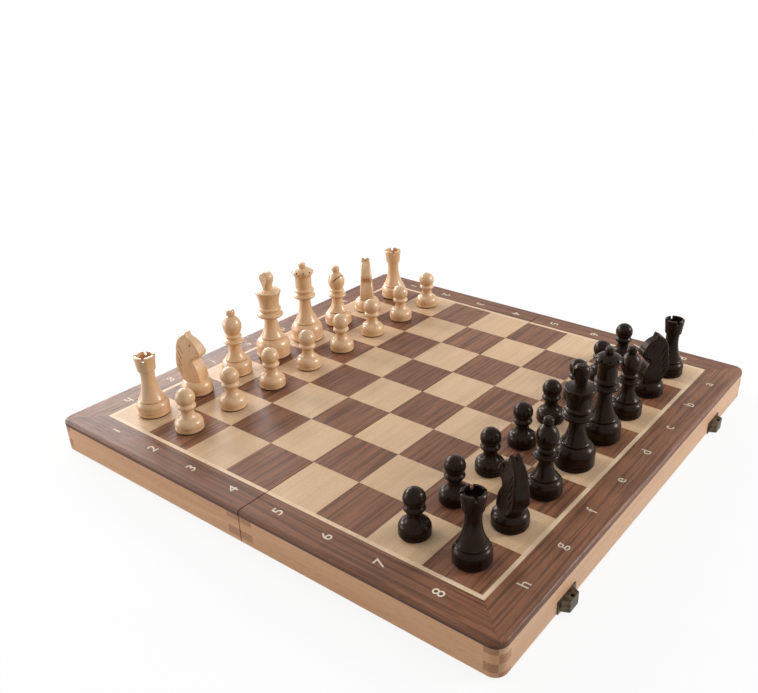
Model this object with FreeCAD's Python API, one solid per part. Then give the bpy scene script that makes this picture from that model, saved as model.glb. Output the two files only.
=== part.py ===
import FreeCAD, Part
import math
import os

# Folding chess board with its set of magnetic men.
# Two felt-lined half boxes are hinged under the middle of the playing face. They fold
# back to back, so that the squares end up outside and the rims meet, and two hasp
# levers on the end of one half hook over keepers on the end of the other.
# Frame: X runs from rank 1 to rank 8, Y from file h to file a, and Z is up.
# The origin lies on the table, below the middle of the open board. Millimetres.

# Playing face
SQUARE = 41.0
STRINGING = 3.0
BORDER_SIDE = 23.5
BORDER_END = 25.5
BORDER_LIP = 6.0
VENEER = 1.1
STEEL = 0.5
CORE = 2.4
SPLIT_GAP = 0.8
EDGE_ROUND = 2.6
CORNER_R = 8.0

# Finger-jointed rails and the felt inside them
RAIL_H = 20.5
RAIL_T = 10.5
RIM_EASE = 0.8
FINGER = 6.3
TOP_FINGER = 4.1
FELT = 1.0
FELT_GAP = 0.3

# Butt hinges let into the rims beside the split
HINGE_Y = 110.0
HINGE_LENGTH = 26.0
HINGE_KNUCKLES = 3
LEAF_WIDTH = 9.0
LEAF_T = 1.0
KNUCKLE_R = 1.25
HINGE_PIN_R = 0.6
KNUCKLE_GAP = 0.15
NOTCH_GAP = 0.35
RIM_GAP = 0.2
SCREW_R = 0.9
SCREW_HEAD_R = 1.8
SCREW_LENGTH = 8.0
SCREW_SLOT = 0.4
SCREW_SPACING = 15.0

# Hasp latches on the ends
LATCH_Y = 120.0
LATCH_MARGIN = 1.7
LATCH_PLATE_H = 9.3
LATCH_PLATE_T = 0.8
LATCH_RAISE = 0.3
KEEPER_OUT = 5.6
KEEPER_H = 8.7
KEEPER_CLEAR = 1.8
KEEPER_FACE_W = 9.6
KEEPER_SHEET = 0.8
KEEPER_HOLE_R = 1.3
HASP_AXIS_OUT = 4.0
HASP_AXIS_UP = 3.2
HASP_KNUCKLE_R = 1.5
HASP_PIN_R = 0.6
HASP_W = 9.0
HASP_T = 0.9
HASP_SIDE_GAP = 0.2
HASP_EAR = 2.2
CATCH_GAP = 0.3
NIB_R = 0.8
NIB_H = 0.7
NAIL_R = 0.6
NAIL_HEAD_R = 1.2
NAIL_HEAD_H = 0.5
NAIL_LENGTH = 7.0
NAIL_SPACING = 17.6
RUNNING_FIT = 0.05

# What every man stands on
PAD = 0.8
PAD_INSET = 0.8
MAGNET_R = 4.0
MAGNET_H = 3.0
FOOT_EASE = 0.6
FOOT_DRUM = 3.0
FOOT_GROOVE = 0.6
FOOT_RING = 1.6

# Pawn
PAWN_H = 33.0
PAWN_BASE_R = 10.2
PAWN_SHOULDER = 4.8
PAWN_DOME = 10.4
PAWN_DOME_R = 6.8
PAWN_NECK_R = 4.6
PAWN_COLLAR_R = 6.8
PAWN_COLLAR_H = 5.4
PAWN_HEAD_R = 7.0
PAWN_JOIN_R = 5.4

# Rook
ROOK_H = 47.8
ROOK_BASE_R = 11.8
ROOK_SHOULDER = 7.0
ROOK_DOME = 11.8
ROOK_RING_R = 9.8
ROOK_NECK_R = 5.2
ROOK_FLARE_R = 5.4
ROOK_FLARE_H = 3.2
ROOK_CROWN_FOOT_R = 6.5
ROOK_CROWN_R = 7.7
ROOK_CROWN_H = 12.2
ROOK_EASE = 0.7
ROOK_CUP_R = 5.6
ROOK_CUP_DEPTH = 5.0
ROOK_SLOT_W = 2.0
ROOK_SLOT_DEPTH = 2.8

# Bishop
BISHOP_H = 55.2
BISHOP_BASE_R = 12.0
BISHOP_SHOULDER = 7.2
BISHOP_DOME = 12.2
BISHOP_RING_R = 8.9
BISHOP_NECK_R = 4.7
BISHOP_COLLAR_R = 8.2
BISHOP_COLLAR_H = 5.2
BISHOP_UPPER_R = 6.6
BISHOP_UPPER_H = 4.0
BISHOP_JOIN_R = 5.4
BISHOP_HEAD_R = 7.5
BISHOP_HEAD_H = 15.5
BISHOP_HEAD_BULGE = 7.5
BISHOP_TIP_R = 2.7
BISHOP_BUTTON_R = 3.4
BISHOP_BUTTON_H = 5.2
BISHOP_SLIT = 1.0
BISHOP_SLIT_TILT = 52.0
BISHOP_SLIT_IN = 2.5

# Queen
QUEEN_H = 70.3
QUEEN_BASE_R = 13.7
QUEEN_SHOULDER = 8.6
QUEEN_DOME = 16.0
QUEEN_RING_R = 10.3
QUEEN_NECK_R = 5.1
QUEEN_COLLAR_R = 9.5
QUEEN_COLLAR_H = 6.2
QUEEN_UPPER_R = 8.6
QUEEN_UPPER_H = 4.2
QUEEN_WAIST_R = 7.0
QUEEN_CROWN_R = 9.3
QUEEN_CROWN_H = 13.8
QUEEN_FLARE_H = 4.6
QUEEN_RIM = 1.0
QUEEN_DOME_H = 4.6
QUEEN_TIP_R = 2.5
QUEEN_BUTTON_R = 3.0
QUEEN_BUTTON_H = 4.2
QUEEN_SCALLOPS = 9
QUEEN_SCALLOP_R = 0.9
QUEEN_SCALLOP_RISE = 20.0

# King
KING_H = 74.4
KING_BASE_R = 14.0
KING_SHOULDER = 9.0
KING_DOME = 16.8
KING_RING_R = 9.9
KING_NECK_R = 5.5
KING_COLLAR_R = 10.8
KING_COLLAR_H = 6.4
KING_UPPER_R = 9.4
KING_UPPER_H = 4.2
KING_WAIST_R = 8.1
KING_CROWN_R = 10.5
KING_CROWN_H = 14.0
KING_RIM = 1.2
KING_STALK_R = 4.0
KING_KNOB_R = 5.4
KING_KNOB_H = 15.9
KING_KNOB_BULGE = 7.4
KING_KNOB_T = 8.0
KING_KNOB_SHELF = 2.4

# Knight, with the points of its side view as (behind the nose, below the ears)
KNIGHT_BASE_R = 11.9
KNIGHT_SHOULDER = 6.4
KNIGHT_DOME = 11.8
KNIGHT_DOME_R = 6.5
KNIGHT_SINK = 3.0
KNIGHT_SEAT_R = 7.4
KNIGHT_CREST = 1.0
KNIGHT_EAR_Z = 50.8
KNIGHT_NOSE = 10.2
KNIGHT_MANE = 12.5
KNIGHT_TAIL = 4.0
KNIGHT_EAR_T = 7.4
KNIGHT_CHEST_T = 13.6
KNIGHT_ROUND = 1.3
KNIGHT_NAPE = (21.8, 15.8)
KNIGHT_CROWN = (19.9, 7.2)
KNIGHT_POLL = (14.9, 1.7)
KNIGHT_EAR = (11.6, 0.0)
KNIGHT_BROW = (10.4, 3.9)
KNIGHT_FACE = (4.2, 6.0)
KNIGHT_MUZZLE = (1.4, 12.2)
KNIGHT_TIP = (0.0, 15.8)
KNIGHT_LIP = (1.3, 18.5)
KNIGHT_CHIN = (3.4, 19.6)
KNIGHT_JAW = (5.6, 20.0)
KNIGHT_THROAT = (6.8, 21.9)
KNIGHT_GULLET = (6.3, 24.2)
KNIGHT_CHEST = (1.6, 29.0)
KNIGHT_BREAST = 3.0
KNIGHT_EYE = (7.6, 9.0)
KNIGHT_EYE_R = 1.2
KNIGHT_NOSTRIL = (2.5, 14.8)
KNIGHT_NOSTRIL_R = 0.6
KNIGHT_MOUTH = (4.3, 18.0)
KNIGHT_GROOVE = 0.6
KNIGHT_STROKES = 4
KNIGHT_STROKE_L = 7.5
KNIGHT_STROKE_IN = 2.4
KNIGHT_STROKE_SLANT = 66.0
KNIGHT_STROKE_LOW = 25.0
KNIGHT_STROKE_TOP = 5.0
KNIGHT_CLEFT = 1.6
KNIGHT_CLEFT_DEPTH = 3.0

# Overall sizes that follow from the ones above
LENGTH_HALF = 4 * SQUARE + STRINGING + BORDER_END
WIDTH_HALF = 4 * SQUARE + STRINGING + BORDER_SIDE
FIELD_HALF = 4 * SQUARE
FOLD_GAP = SPLIT_GAP / 2
SAME_LEVEL = 1e-6
LATCH_PLATE_W = NAIL_SPACING + 2 * LATCH_MARGIN
KEEPER_ROOT_W = NAIL_SPACING - 2 * KEEPER_CLEAR
AXIS_Z = KNUCKLE_R
RIM = AXIS_Z + RIM_GAP / 2
RAIL_TOP = RIM + RAIL_H
CORE_TOP = RAIL_TOP + CORE
STEEL_TOP = CORE_TOP + STEEL
TOP = STEEL_TOP + VENEER
HALVES = {"a": -1, "b": 1}
REACH = 2 * LENGTH_HALF


def vec(x, y, z):
    return FreeCAD.Vector(x, y, z)


def block(side, x0, x1, y0, y1, z0, z1):
    """Box whose x values are measured from the split, on the half named by side."""
    low, high = sorted((side * x0, side * x1))
    return Part.makeBox(high - low, y1 - y0, z1 - z0, vec(low, y0, z0))


def slab(side, outline, z0, z1):
    """Upright prism over a plan outline of (x, y) points, with x measured from the split."""
    points = [vec(side * x, y, z0) for x, y in outline]
    face = Part.Face(Part.makePolygon(points + points[:1]))
    return face.extrude(vec(0, 0, z1 - z0))


def rod(radius, start, end):
    """Cylinder between two points."""
    axis = end - start
    return Part.makeCylinder(radius, axis.Length, start, axis)


def along_y(outline, y0, y1):
    """Prism along Y over an outline of (x, z) points."""
    points = [vec(x, y0, z) for x, z in outline]
    face = Part.Face(Part.makePolygon(points + points[:1]))
    return face.extrude(vec(0, y1 - y0, 0))


def fused(shapes):
    """One clean solid from overlapping ones."""
    whole = shapes[0].fuse(shapes[1:]) if len(shapes) > 1 else shapes[0]
    return whole.removeSplitter().Solids[0]


def node(name, solids):
    """Write one sub-part as a group of separate solids."""
    Part.makeCompound(solids).exportStep(os.path.join("parts", name + ".step"))


# Outline of one half: rounded outer corners, rounded top edge and eased rim
def half_body(side):
    body = block(1, FOLD_GAP, LENGTH_HALF, -WIDTH_HALF, WIDTH_HALF, RIM, TOP)
    corners = [e for e in body.Edges if is_outer_corner(e)]
    body = body.makeFillet(CORNER_R, corners)
    body = body.makeFillet(EDGE_ROUND, rim_edges(body, TOP))
    body = body.makeFillet(RIM_EASE, rim_edges(body, RIM))
    if side < 0:
        body = body.mirror(vec(0, 0, 0), vec(1, 0, 0))
    return body


def is_outer_corner(edge):
    box = edge.BoundBox
    return box.ZLength > RAIL_H and box.XMin > LENGTH_HALF - CORNER_R


def rim_edges(body, level):
    """Edges of a body's top or bottom face, apart from the one along the split."""
    flat = [e for e in body.Edges if e.BoundBox.ZLength < SAME_LEVEL]
    flat = [e for e in flat if abs(e.BoundBox.ZMin - level) < SAME_LEVEL]
    return [e for e in flat if e.BoundBox.XMax > FOLD_GAP + SAME_LEVEL]


# Rails: fingers alternate down each corner, and the cross rails own the top ones
def finger_bands():
    bands = []
    upper = RAIL_TOP
    step = TOP_FINGER
    owner = "cross"
    while upper > RIM + SAME_LEVEL:
        lower = max(RIM, upper - step)
        bands.append((owner, lower, upper))
        upper = lower
        step = FINGER
        owner = "long" if owner == "cross" else "cross"
    return bands


def corner_fingers(side, owner):
    """The parts of the four corner posts that belong to the long or to the cross rails."""
    posts = []
    for x0 in (FOLD_GAP, LENGTH_HALF - RAIL_T):
        for y0 in (-WIDTH_HALF, WIDTH_HALF - RAIL_T):
            for band_owner, z0, z1 in finger_bands():
                if band_owner == owner:
                    posts.append(block(side, x0, x0 + RAIL_T, y0, y0 + RAIL_T, z0, z1))
    return posts


def rails(side):
    body = half_body(side)
    long_fingers = corner_fingers(side, "long")
    cross_fingers = corner_fingers(side, "cross")
    made = {}
    for name, y0 in (("front_rail", -WIDTH_HALF), ("back_rail", WIDTH_HALF - RAIL_T)):
        bar = block(side, FOLD_GAP, LENGTH_HALF, y0, y0 + RAIL_T, RIM, RAIL_TOP)
        made[name] = body.common(bar).cut(cross_fingers)
    for name, x0 in (("hinge_rail", FOLD_GAP), ("end_rail", LENGTH_HALF - RAIL_T)):
        bar = block(side, x0, x0 + RAIL_T, -WIDTH_HALF, WIDTH_HALF, RIM, RAIL_TOP)
        made[name] = body.common(bar).cut(long_fingers)
    made["hinge_rail"] = made["hinge_rail"].cut(hinge_mortises(side)).cut(hinge_screws(side))
    made["end_rail"] = made["end_rail"].cut(latch_nails(side))
    return {name: shape.Solids[0] for name, shape in made.items()}


# Board: plywood core on the rails, mitred walnut border lapped over it, steel and veneers
def core_panel(side):
    return block(side, FOLD_GAP, LENGTH_HALF - BORDER_LIP, BORDER_LIP - WIDTH_HALF,
                 WIDTH_HALF - BORDER_LIP, RAIL_TOP, CORE_TOP)


def frame_outlines(outer_x, outer_y, width_x, width_y):
    """Plan outlines of the front, back and end strips of a mitred frame, open at the split."""
    inner_x = outer_x - width_x
    inner_y = outer_y - width_y
    front = [(FOLD_GAP, -outer_y), (outer_x, -outer_y), (inner_x, -inner_y), (FOLD_GAP, -inner_y)]
    back = [(x, -y) for x, y in front]
    end = [(outer_x, -outer_y), (outer_x, outer_y), (inner_x, inner_y), (inner_x, -inner_y)]
    return [front, back, end]


def border(side):
    upper = half_body(side).common(block(side, 0, REACH, -REACH, REACH, RAIL_TOP, TOP))
    ring = upper.cut(core_panel(side))
    strips = []
    for outline in frame_outlines(LENGTH_HALF, WIDTH_HALF, BORDER_END, BORDER_SIDE):
        strips.append(ring.common(slab(side, outline, RAIL_TOP, TOP)).Solids[0])
    return strips


def steel_sheet(side):
    return block(side, FOLD_GAP, LENGTH_HALF - BORDER_END, BORDER_SIDE - WIDTH_HALF,
                 WIDTH_HALF - BORDER_SIDE, CORE_TOP, STEEL_TOP)


def stringing(side):
    line = FIELD_HALF + STRINGING
    outlines = frame_outlines(line, line, STRINGING, STRINGING)
    return [slab(side, outline, STEEL_TOP, TOP) for outline in outlines]


def squares(side, light):
    """The light or the dark squares of one half, counted outwards from the split."""
    found = []
    odd_is_light = side < 0
    for step in range(4):
        for row in range(8):
            odd = (step + row) % 2 == 1
            if (odd == odd_is_light) != light:
                continue
            x0 = max(step * SQUARE, FOLD_GAP)
            y0 = row * SQUARE - FIELD_HALF
            found.append(block(side, x0, (step + 1) * SQUARE, y0, y0 + SQUARE, STEEL_TOP, TOP))
    return found


def felt_lining(side):
    inset = RAIL_T + FELT_GAP
    return block(side, FOLD_GAP + inset, LENGTH_HALF - inset, inset - WIDTH_HALF,
                 WIDTH_HALF - inset, RAIL_TOP - FELT, RAIL_TOP)


# Fold hinge: two butt hinges with alternate knuckles on one pin each
def hinge_places():
    return (-HINGE_Y, HINGE_Y)


def hinge_mortises(side):
    cuts = []
    reach = KNUCKLE_R + NOTCH_GAP
    for y in hinge_places():
        y0 = y - HINGE_LENGTH / 2
        y1 = y + HINGE_LENGTH / 2
        cuts.append(block(side, 0, LEAF_WIDTH, y0, y1, 0, RIM + LEAF_T))
        cuts.append(block(side, 0, reach, y0 - NOTCH_GAP, y1 + NOTCH_GAP, 0, AXIS_Z + reach))
    return cuts


def hinge_leaf(side, y):
    """A leaf with its own knuckles: the odd ones on half b, the even ones on half a."""
    first = 0 if side < 0 else 1
    pitch = HINGE_LENGTH / HINGE_KNUCKLES
    start = y - HINGE_LENGTH / 2
    reach = KNUCKLE_R + NOTCH_GAP
    pieces = [block(side, reach, LEAF_WIDTH, start, start + HINGE_LENGTH, RIM, RIM + LEAF_T)]
    for k in range(first, HINGE_KNUCKLES, 2):
        y0 = start + k * pitch + (KNUCKLE_GAP / 2 if k > 0 else 0)
        y1 = start + (k + 1) * pitch - (KNUCKLE_GAP / 2 if k < HINGE_KNUCKLES - 1 else 0)
        pieces.append(block(side, 0, reach, y0, y1, RIM, RIM + LEAF_T))
        pieces.append(rod(KNUCKLE_R, vec(0, y0, AXIS_Z), vec(0, y1, AXIS_Z)))
    bore = HINGE_PIN_R if side < 0 else HINGE_PIN_R + RUNNING_FIT
    through = rod(bore, vec(0, start - pitch, AXIS_Z), vec(0, start + HINGE_LENGTH + pitch, AXIS_Z))
    leaf = fused(pieces).cut(through)
    return leaf.cut(hinge_screws(side)).Solids[0]


def hinge_pin(y):
    return rod(HINGE_PIN_R, vec(0, y - HINGE_LENGTH / 2, AXIS_Z), vec(0, y + HINGE_LENGTH / 2, AXIS_Z))


def hinge_screws(side):
    """Countersunk screws, heads flush with the rim, each with a straight slot."""
    x = side * (KNUCKLE_R + NOTCH_GAP + LEAF_WIDTH) / 2
    screws = []
    for y in hinge_places():
        for offset in (-SCREW_SPACING / 2, SCREW_SPACING / 2):
            at = vec(x, y + offset, RIM)
            head = Part.makeCone(SCREW_HEAD_R, SCREW_R, LEAF_T, at)
            shank = Part.makeCylinder(SCREW_R, SCREW_LENGTH, at)
            screws.append(fused([head, shank]))
    return screws


def slotted(screw):
    box = screw.BoundBox
    at = vec(box.Center.x - SCREW_SLOT / 2, box.YMin, box.ZMin)
    return screw.cut(Part.makeBox(SCREW_SLOT, box.YLength, SCREW_SLOT, at)).Solids[0]


# Latches: keepers on the end of half b, hasp plates and levers on the end of half a
def latch_places():
    return (-LATCH_Y, LATCH_Y)


def latch_plate(side, y):
    z0 = RIM + LATCH_RAISE
    plate = block(side, LENGTH_HALF, LENGTH_HALF + LATCH_PLATE_T, y - LATCH_PLATE_W / 2,
                  y + LATCH_PLATE_W / 2, z0, z0 + LATCH_PLATE_H)
    return plate


def latch_nails(side):
    """Round-headed nails, one each side of a plate."""
    nails = []
    z = RIM + LATCH_RAISE + LATCH_PLATE_H / 2
    face = LENGTH_HALF + LATCH_PLATE_T
    for y in latch_places():
        for offset in (-NAIL_SPACING / 2, NAIL_SPACING / 2):
            outer = vec(side * face, y + offset, z)
            shank = rod(NAIL_R, vec(side * (face - NAIL_LENGTH), y + offset, z), outer)
            head = rod(NAIL_HEAD_R, outer, outer + vec(side * NAIL_HEAD_H, 0, 0))
            nails.append(fused([shank, head]))
    return nails


def keeper(y):
    """A pressed box on a plate: sloping sides, flat front, a snap hole in its far face."""
    z0 = RIM + LATCH_RAISE
    z1 = z0 + KEEPER_H
    root = LENGTH_HALF + LATCH_PLATE_T
    front = LENGTH_HALF + KEEPER_OUT
    half_root = KEEPER_ROOT_W / 2
    half_face = KEEPER_FACE_W / 2
    outer = [(root, y - half_root), (front, y - half_face), (front, y + half_face), (root, y + half_root)]
    inner_root = half_root - KEEPER_SHEET
    inner_face = half_face - KEEPER_SHEET
    inner_front = front - KEEPER_SHEET
    inner = [(root, y - inner_root), (inner_front, y - inner_face), (inner_front, y + inner_face),
             (root, y + inner_root)]
    shell = slab(1, outer, z0, z1).cut(slab(1, inner, z0, z1 - KEEPER_SHEET))
    hole_at = vec(LENGTH_HALF + HASP_AXIS_OUT, y, z0)
    shell = shell.cut(Part.makeCylinder(KEEPER_HOLE_R, LATCH_PLATE_H, hole_at))
    return fused([latch_plate(1, y), shell]).cut(latch_nails(1)).Solids[0]


def hasp_axis(y):
    return vec(-LENGTH_HALF - HASP_AXIS_OUT, y, RIM + HASP_AXIS_UP)


def hasp_plate(y):
    """Plate with two ears that hold the lever's pin."""
    axis = hasp_axis(y)
    inner = HASP_W / 2 + HASP_SIDE_GAP
    pieces = [latch_plate(-1, y)]
    for y0 in (y - inner - HASP_EAR, y + inner):
        y1 = y0 + HASP_EAR
        z0 = axis.z - HASP_KNUCKLE_R
        pieces.append(block(-1, LENGTH_HALF, -axis.x, y0, y1, z0, z0 + 2 * HASP_KNUCKLE_R))
        pieces.append(rod(HASP_KNUCKLE_R, vec(axis.x, y0, axis.z), vec(axis.x, y1, axis.z)))
    return fused(pieces).cut([hasp_pin(y)] + latch_nails(-1)).Solids[0]


def hasp_pin(y):
    axis = hasp_axis(y)
    half = HASP_W / 2 + HASP_SIDE_GAP + HASP_EAR
    return rod(HASP_PIN_R, axis - vec(0, half, 0), axis + vec(0, half, 0))


def hasp_lever(y):
    """Sheet lever folded up against the wall: knuckle, offset arm, lip and snap nib."""
    axis = hasp_axis(y)
    latched_face = KEEPER_OUT + CATCH_GAP
    arm_out = 2 * HASP_AXIS_OUT - latched_face
    arm_in = arm_out - HASP_T
    keeper_far = RIM_GAP + LATCH_RAISE + KEEPER_H
    length = HASP_AXIS_UP + keeper_far + CATCH_GAP + HASP_T
    wall = -LENGTH_HALF
    y0 = y - HASP_W / 2
    y1 = y + HASP_W / 2
    root = axis.z - HASP_T / 2
    tip = axis.z + length
    arm = [(wall - arm_in, root), (wall - arm_out, root), (wall - arm_out, tip), (wall - arm_in, tip)]
    web = [(axis.x, root), (wall - arm_in, root), (wall - arm_in, root + HASP_T), (axis.x, root + HASP_T)]
    lip = [(wall - KEEPER_OUT, tip - HASP_T), (wall - arm_in, tip - HASP_T), (wall - arm_in, tip),
           (wall - KEEPER_OUT, tip)]
    pieces = [along_y(arm, y0, y1), along_y(web, y0, y1), along_y(lip, y0, y1)]
    pieces.append(rod(HASP_KNUCKLE_R, vec(axis.x, y0, axis.z), vec(axis.x, y1, axis.z)))
    nib_at = vec(axis.x, y, tip - HASP_T)
    pieces.append(Part.makeCylinder(NIB_R, NIB_H + HASP_T / 2, nib_at - vec(0, 0, NIB_H)))
    bore = HASP_PIN_R + RUNNING_FIT
    through = rod(bore, vec(axis.x, y0 - HASP_EAR, axis.z), vec(axis.x, y1 + HASP_EAR, axis.z))
    return fused(pieces).cut(through).Solids[0]


# Men are turned about Z from their outline, standing on the origin
def outline_face(start, steps):
    """Face in the XZ plane: ("line", x, z), ("arc", middle x, z, x, z) or ("bend", corner x, z, x, z)."""
    here = vec(start[0], 0, start[1])
    edges = []
    for kind, *numbers in steps:
        end = vec(numbers[-2], 0, numbers[-1])
        if kind == "line":
            edges.append(Part.makeLine(here, end))
        else:
            edges.append(round_edge(kind, here, vec(numbers[0], 0, numbers[1]), end))
        here = end
    edges.append(Part.makeLine(here, vec(start[0], 0, start[1])))
    return Part.Face(Part.Wire(edges))


def turned(steps):
    """Solid turned about Z, from the middle of its underside up to its top."""
    return outline_face((0, PAD), steps).revolve(vec(0, 0, 0), vec(0, 0, 1), 360).Solids[0]


def round_edge(kind, start, middle, end):
    """Arc through a middle point, or one that bends half way towards a corner point."""
    if kind == "bend":
        middle = start * 0.25 + middle * 0.5 + end * 0.25
    return Part.Arc(start, middle, end).toShape()


def foot(base_r, shoulder_z, dome_z, dome_r):
    """Outline of a man's grooved drum and the dome that rises from its shoulder."""
    groove_z = PAD + FOOT_DRUM
    corner_z = (shoulder_z + 3 * dome_z) / 4
    return [
        ("line", base_r - FOOT_EASE, PAD),
        ("line", base_r, PAD + FOOT_EASE),
        ("line", base_r, groove_z - FOOT_GROOVE / 2),
        ("line", base_r - FOOT_GROOVE, groove_z),
        ("line", base_r, groove_z + FOOT_GROOVE / 2),
        ("line", base_r, shoulder_z),
        ("bend", base_r, corner_z, dome_r, dome_z),
    ]


def stem(ring_r, ring_z, neck_r, neck_z):
    """A ring on the dome and the sweep from it up to the neck."""
    lip = FOOT_RING / 3
    top = ring_z + FOOT_RING
    return [
        ("line", ring_r, ring_z + lip),
        ("line", ring_r, top - lip),
        ("line", ring_r - lip, top),
        ("bend", neck_r, (2 * top + neck_z) / 3, neck_r, neck_z),
    ]


def collar(collar_r, z0, height, above_r):
    """A round-edged ring with a long underside, up to the radius of what stands on it."""
    lip = (collar_r - above_r) / 2
    under = z0 + height / 3
    over = z0 + 5 * height / 6
    return [
        ("line", collar_r - lip, under),
        ("arc", collar_r, (under + over) / 2, collar_r - lip, over),
        ("line", above_r, z0 + height),
    ]


def button(button_r, z0, top):
    """A bead with a flattened top that ends a man."""
    return [
        ("bend", button_r, z0, button_r, (z0 + top) / 2),
        ("bend", button_r, top, button_r / 2, top),
        ("line", 0, top),
    ]


def pawn():
    head_z = PAWN_H - PAWN_HEAD_R
    join_z = head_z - math.sqrt(PAWN_HEAD_R ** 2 - PAWN_JOIN_R ** 2)
    ring_z = join_z - PAWN_COLLAR_H
    steps = foot(PAWN_BASE_R, PAWN_SHOULDER, PAWN_DOME, PAWN_DOME_R)
    steps.append(("bend", PAWN_NECK_R, (2 * PAWN_DOME + ring_z) / 3, PAWN_NECK_R, ring_z))
    steps += collar(PAWN_COLLAR_R, ring_z, PAWN_COLLAR_H, PAWN_JOIN_R)
    steps.append(("arc", PAWN_HEAD_R, head_z, 0, PAWN_H))
    return turned(steps)


def rook():
    """Flared neck under a cupped crown, with four slots through the crown's wall."""
    crown_z = ROOK_H - ROOK_CROWN_H
    neck_z = crown_z - ROOK_FLARE_H
    floor_z = ROOK_H - ROOK_CUP_DEPTH
    steps = foot(ROOK_BASE_R, ROOK_SHOULDER, ROOK_DOME, ROOK_RING_R - FOOT_EASE)
    steps += stem(ROOK_RING_R, ROOK_DOME, ROOK_NECK_R, neck_z)
    steps += [
        ("bend", ROOK_NECK_R, (neck_z + crown_z) / 2, ROOK_FLARE_R, crown_z),
        ("line", ROOK_CROWN_FOOT_R, crown_z + ROOK_EASE),
        ("line", ROOK_CROWN_R, ROOK_H - ROOK_EASE),
        ("line", ROOK_CROWN_R - ROOK_EASE, ROOK_H),
        ("line", ROOK_CUP_R, ROOK_H),
        ("line", ROOK_CUP_R, floor_z),
        ("line", 0, floor_z),
    ]
    slots = []
    for turn in (45, 135):
        slot = Part.makeBox(4 * ROOK_CROWN_R, ROOK_SLOT_W, ROOK_CUP_DEPTH,
                            vec(-2 * ROOK_CROWN_R, -ROOK_SLOT_W / 2, ROOK_H - ROOK_SLOT_DEPTH))
        slot.rotate(vec(0, 0, 0), vec(0, 0, 1), turn)
        slots.append(slot)
    return turned(steps).cut(slots).Solids[0]


def bishop():
    """Two collars under a pointed mitre with a slit and a button."""
    tip_z = BISHOP_H - BISHOP_BUTTON_H
    head_z = tip_z - BISHOP_HEAD_H
    bulge_z = head_z + BISHOP_HEAD_BULGE
    upper_z = head_z - BISHOP_UPPER_H
    low_z = upper_z - BISHOP_COLLAR_H
    steps = foot(BISHOP_BASE_R, BISHOP_SHOULDER, BISHOP_DOME, BISHOP_RING_R - FOOT_EASE)
    steps += stem(BISHOP_RING_R, BISHOP_DOME, BISHOP_NECK_R, low_z)
    steps += collar(BISHOP_COLLAR_R, low_z, BISHOP_COLLAR_H, BISHOP_JOIN_R)
    steps += collar(BISHOP_UPPER_R, upper_z, BISHOP_UPPER_H, BISHOP_JOIN_R)
    steps += [
        ("bend", BISHOP_HEAD_R, (head_z + bulge_z) / 2, BISHOP_HEAD_R, bulge_z),
        ("bend", BISHOP_HEAD_R, (bulge_z + tip_z) / 2, BISHOP_TIP_R, tip_z),
    ]
    steps += button(BISHOP_BUTTON_R, tip_z, BISHOP_H)
    slit = Part.makeBox(2 * BISHOP_HEAD_R, 4 * BISHOP_HEAD_R, BISHOP_SLIT, vec(0, -2 * BISHOP_HEAD_R, 0))
    slit.rotate(vec(0, 0, 0), vec(0, 1, 0), -BISHOP_SLIT_TILT)
    slit.translate(vec(BISHOP_SLIT_IN, 0, bulge_z))
    return turned(steps).cut(slit).Solids[0]


def queen():
    """Two collars under a coronet with scallops round its rim and a button on its dome."""
    tip_z = QUEEN_H - QUEEN_BUTTON_H
    rim_z = tip_z - QUEEN_DOME_H
    flare_z = rim_z - QUEEN_FLARE_H
    waist_z = rim_z - QUEEN_CROWN_H
    upper_z = waist_z - QUEEN_UPPER_H
    low_z = upper_z - QUEEN_COLLAR_H
    steps = foot(QUEEN_BASE_R, QUEEN_SHOULDER, QUEEN_DOME, QUEEN_RING_R - FOOT_EASE)
    steps += stem(QUEEN_RING_R, QUEEN_DOME, QUEEN_NECK_R, low_z)
    steps += collar(QUEEN_COLLAR_R, low_z, QUEEN_COLLAR_H, QUEEN_WAIST_R)
    steps += collar(QUEEN_UPPER_R, upper_z, QUEEN_UPPER_H, QUEEN_WAIST_R)
    steps += [
        ("line", QUEEN_WAIST_R, flare_z),
        ("bend", QUEEN_WAIST_R, (flare_z + rim_z) / 2, QUEEN_CROWN_R, rim_z),
        ("line", QUEEN_CROWN_R, rim_z + QUEEN_RIM),
        ("bend", (QUEEN_CROWN_R + QUEEN_TIP_R) / 2, tip_z, QUEEN_TIP_R, tip_z),
    ]
    steps += button(QUEEN_BUTTON_R, tip_z, QUEEN_H)
    bite = Part.makeCylinder(QUEEN_SCALLOP_R, 2 * QUEEN_CROWN_R, vec(0, 0, 0), vec(1, 0, 0))
    bite.rotate(vec(0, 0, 0), vec(0, 1, 0), -QUEEN_SCALLOP_RISE)
    bite.translate(vec(QUEEN_WAIST_R, 0, rim_z + QUEEN_RIM))
    bites = []
    for count in range(QUEEN_SCALLOPS):
        turn = bite.copy()
        turn.rotate(vec(0, 0, 0), vec(0, 0, 1), count * 360 / QUEEN_SCALLOPS)
        bites.append(turn)
    return turned(steps).cut(bites).Solids[0]


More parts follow.
